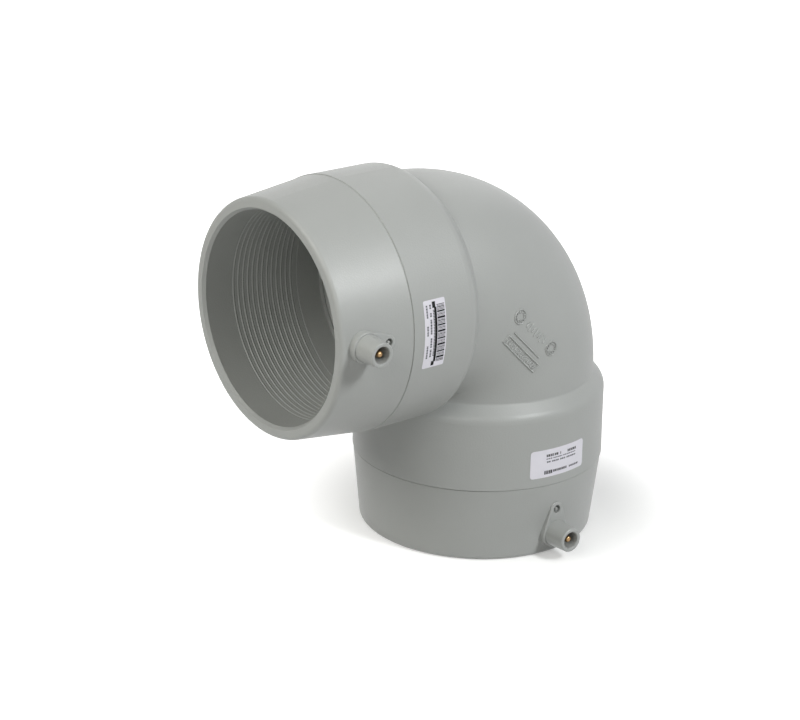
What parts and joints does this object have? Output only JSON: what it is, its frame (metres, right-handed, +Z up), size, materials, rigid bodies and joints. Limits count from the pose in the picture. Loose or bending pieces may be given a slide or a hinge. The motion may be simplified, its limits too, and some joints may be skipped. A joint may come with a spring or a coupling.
{
  "type": "electrofusion elbow",
  "caption": "Right-angle electrofusion elbow for plastic pressure pipe, with a heating-wire socket at each end, shrouded weld terminals and fusion indicators.",
  "frame": {"origin": "centre of the lower socket's mouth, in the plane of the face that the elbow stands on", "axes": "+Z up the lower socket's axis into the bend, -X out of the upper socket, -Y the way the terminals point"},
  "size_m": [0.236, 0.1651, 0.236],
  "materials": {
    "body_plastic": "grey moulded polypropylene, satin, finely eroded surface",
    "indicator_plastic": "light grey moulded polypropylene",
    "terminal_brass": "turned brass",
    "resistance_wire": "drawn copper-nickel wire",
    "label_film": "white printed film"
  },
  "bodies": {
    "root": {"elbow_body": "body_plastic", "heating_wire": "resistance_wire", "lower_terminal_pin": "terminal_brass", "upper_terminal_pin": "terminal_brass", "lower_fusion_indicator": "indicator_plastic", "upper_fusion_indicator": "indicator_plastic", "lower_label": "label_film", "upper_label": "label_film"}
  },
  "joints": []
}
